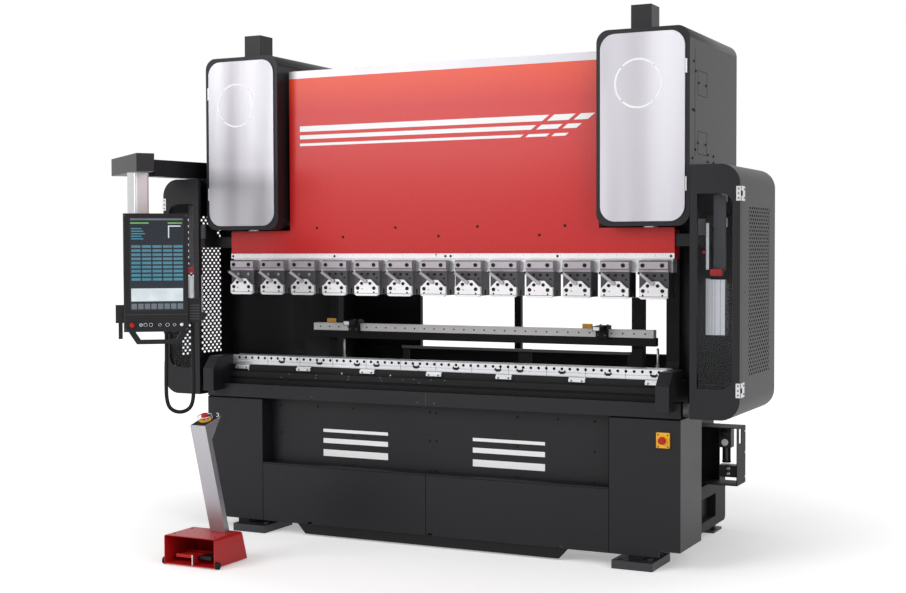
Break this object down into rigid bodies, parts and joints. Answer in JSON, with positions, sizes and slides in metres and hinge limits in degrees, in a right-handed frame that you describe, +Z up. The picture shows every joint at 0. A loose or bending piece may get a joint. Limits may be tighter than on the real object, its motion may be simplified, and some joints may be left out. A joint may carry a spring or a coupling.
{
  "type": "servo press brake, 2.5 m, with foot pedal unit",
  "caption": "Floor-standing servo press brake: red ram with thirteen punch holders over a die rail, back gauge, swinging control pendant and foot pedal unit.",
  "frame": {"origin": "on the floor, in the middle of the four anchor holes of the levelling feet", "axes": "+X to the operator's right along the ram, +Y to the back of the machine, +Z up"},
  "size_m": [3.4029, 2.151, 2.735],
  "materials": {
    "black_paint": "satin",
    "red_paint": "gloss",
    "dark_steel": "satin",
    "silver_steel": "satin",
    "silver_alloy": "satin",
    "black_plastic": "satin",
    "black_rubber": "matte",
    "smoked_glass": "gloss",
    "yellow_plastic": "gloss",
    "red_plastic": "gloss"
  },
  "bodies": {
    "machine": {"air_unit": "dark_steel", "apron_strip": "black_paint", "arm_bracket": "black_paint", "column_covers": "black_paint", "cover_hinges": "silver_steel", "cover_stays": "black_paint", "die_clamps": "silver_steel", "die_rail": "silver_steel", "gauge_rails": "dark_steel", "kick_plate": "black_paint", "levelling_feet": "dark_steel", "lower_beam": "black_paint", "lower_front_panels": "black_paint", "pedal_column": "silver_steel", "pedal_shell": "red_paint", "pedal_wheels": "black_plastic", "rear_base_boxes": "black_paint", "rear_frame": "black_paint", "rear_panel": "black_paint", "rear_upper_cover": "black_paint", "side_covers": "black_paint", "side_frames": "black_paint", "stop_boxes": "yellow_plastic", "stop_buttons": "red_plastic", "table_beam": "black_paint", "table_ends": "black_paint", "top_ducts": "black_paint", "tower_doors": "silver_steel", "towers": "black_paint", "upper_front_panel": "black_paint", "utility_bracket": "black_paint"},
    "ram": {"ram_plate": "red_paint", "ram_top_trim": "silver_steel", "drive_rods": "silver_steel", "ram_ruler": "silver_steel", "holder_rail": "silver_steel", "holder_bodies": "dark_steel", "holder_plates": "silver_steel", "holder_jaws": "silver_steel", "clamp_levers": "silver_steel", "guard_carriers": "silver_alloy"},
    "gauge_depth": {"gauge_carriage": "black_paint"},
    "gauge_height": {"gauge_beam": "black_paint", "gauge_rail": "silver_steel"},
    "finger_left": {"gauge_finger_left": "black_paint"},
    "finger_right": {"gauge_finger_right": "black_paint"},
    "door_left": {"cover_door_left": "black_paint", "door_window_left": "smoked_glass"},
    "door_right": {"cover_door_right": "black_paint", "door_window_right": "smoked_glass"},
    "arm": {"pendant_arm": "black_paint"},
    "link": {"pendant_link": "black_paint", "pendant_mast": "silver_alloy"},
    "panel": {"pendant_swivel": "black_paint", "pendant_panel": "black_plastic", "pendant_handles": "black_plastic", "pendant_cord": "black_rubber"},
    "pedal_down": {"pedal_down": "red_paint"},
    "pedal_up": {"pedal_up": "black_plastic"}
  },
  "joints": [
    {"name": "ram_travel", "type": "slide", "parent": "machine", "child": "ram", "axis": [0, 0, 1], "range_m": [-0.25, 0]},
    {"name": "gauge_depth_travel", "type": "slide", "parent": "machine", "child": "gauge_depth", "axis": [0, 1, 0], "range_m": [-0.15, 0.1]},
    {"name": "gauge_height_travel", "type": "slide", "parent": "gauge_depth", "child": "gauge_height", "axis": [0, 0, 1], "range_m": [-0.03, 0.12]},
    {"name": "finger_left_travel", "type": "slide", "parent": "gauge_height", "child": "finger_left", "axis": [1, 0, 0], "range_m": [-0.2, 0.7]},
    {"name": "finger_right_travel", "type": "slide", "parent": "gauge_height", "child": "finger_right", "axis": [1, 0, 0], "range_m": [-0.7, 0.2]},
    {"name": "cover_door_left_hinge", "type": "hinge", "parent": "machine", "child": "door_left", "pos_m": [-1.662, -0.513, 1.342], "axis": [0, 0, -1], "range_deg": [0, 100]},
    {"name": "cover_door_right_hinge", "type": "hinge", "parent": "machine", "child": "door_right", "pos_m": [1.662, -0.513, 1.342], "axis": [0, 0, 1], "range_deg": [0, 100]},
    {"name": "arm_swing", "type": "hinge", "parent": "machine", "child": "arm", "pos_m": [-1.48, -0.045, 1.998], "axis": [0, 0, -1], "range_deg": [0, 60]},
    {"name": "elbow_swing", "type": "hinge", "parent": "arm", "child": "link", "pos_m": [-1.6, -0.793, 1.998], "axis": [0, 0, 1], "range_deg": [-30, 20]},
    {"name": "panel_swivel", "type": "hinge", "parent": "link", "child": "panel", "pos_m": [-1.3848, -1.0861, 1.6], "axis": [0, 0, 1], "range_deg": [-30, 30]},
    {"name": "pedal_down_press", "type": "hinge", "parent": "machine", "child": "pedal_down", "pos_m": [-0.826, -1.252, 0.038], "axis": [1, 0, 0], "range_deg": [0, 8], "stiffness_Nm_per_rad": 8, "springref_deg": -22.92},
    {"name": "pedal_up_press", "type": "hinge", "parent": "machine", "child": "pedal_up", "pos_m": [-0.826, -1.252, 0.038], "axis": [1, 0, 0], "range_deg": [0, 8], "stiffness_Nm_per_rad": 8, "springref_deg": -22.92}
  ]
}
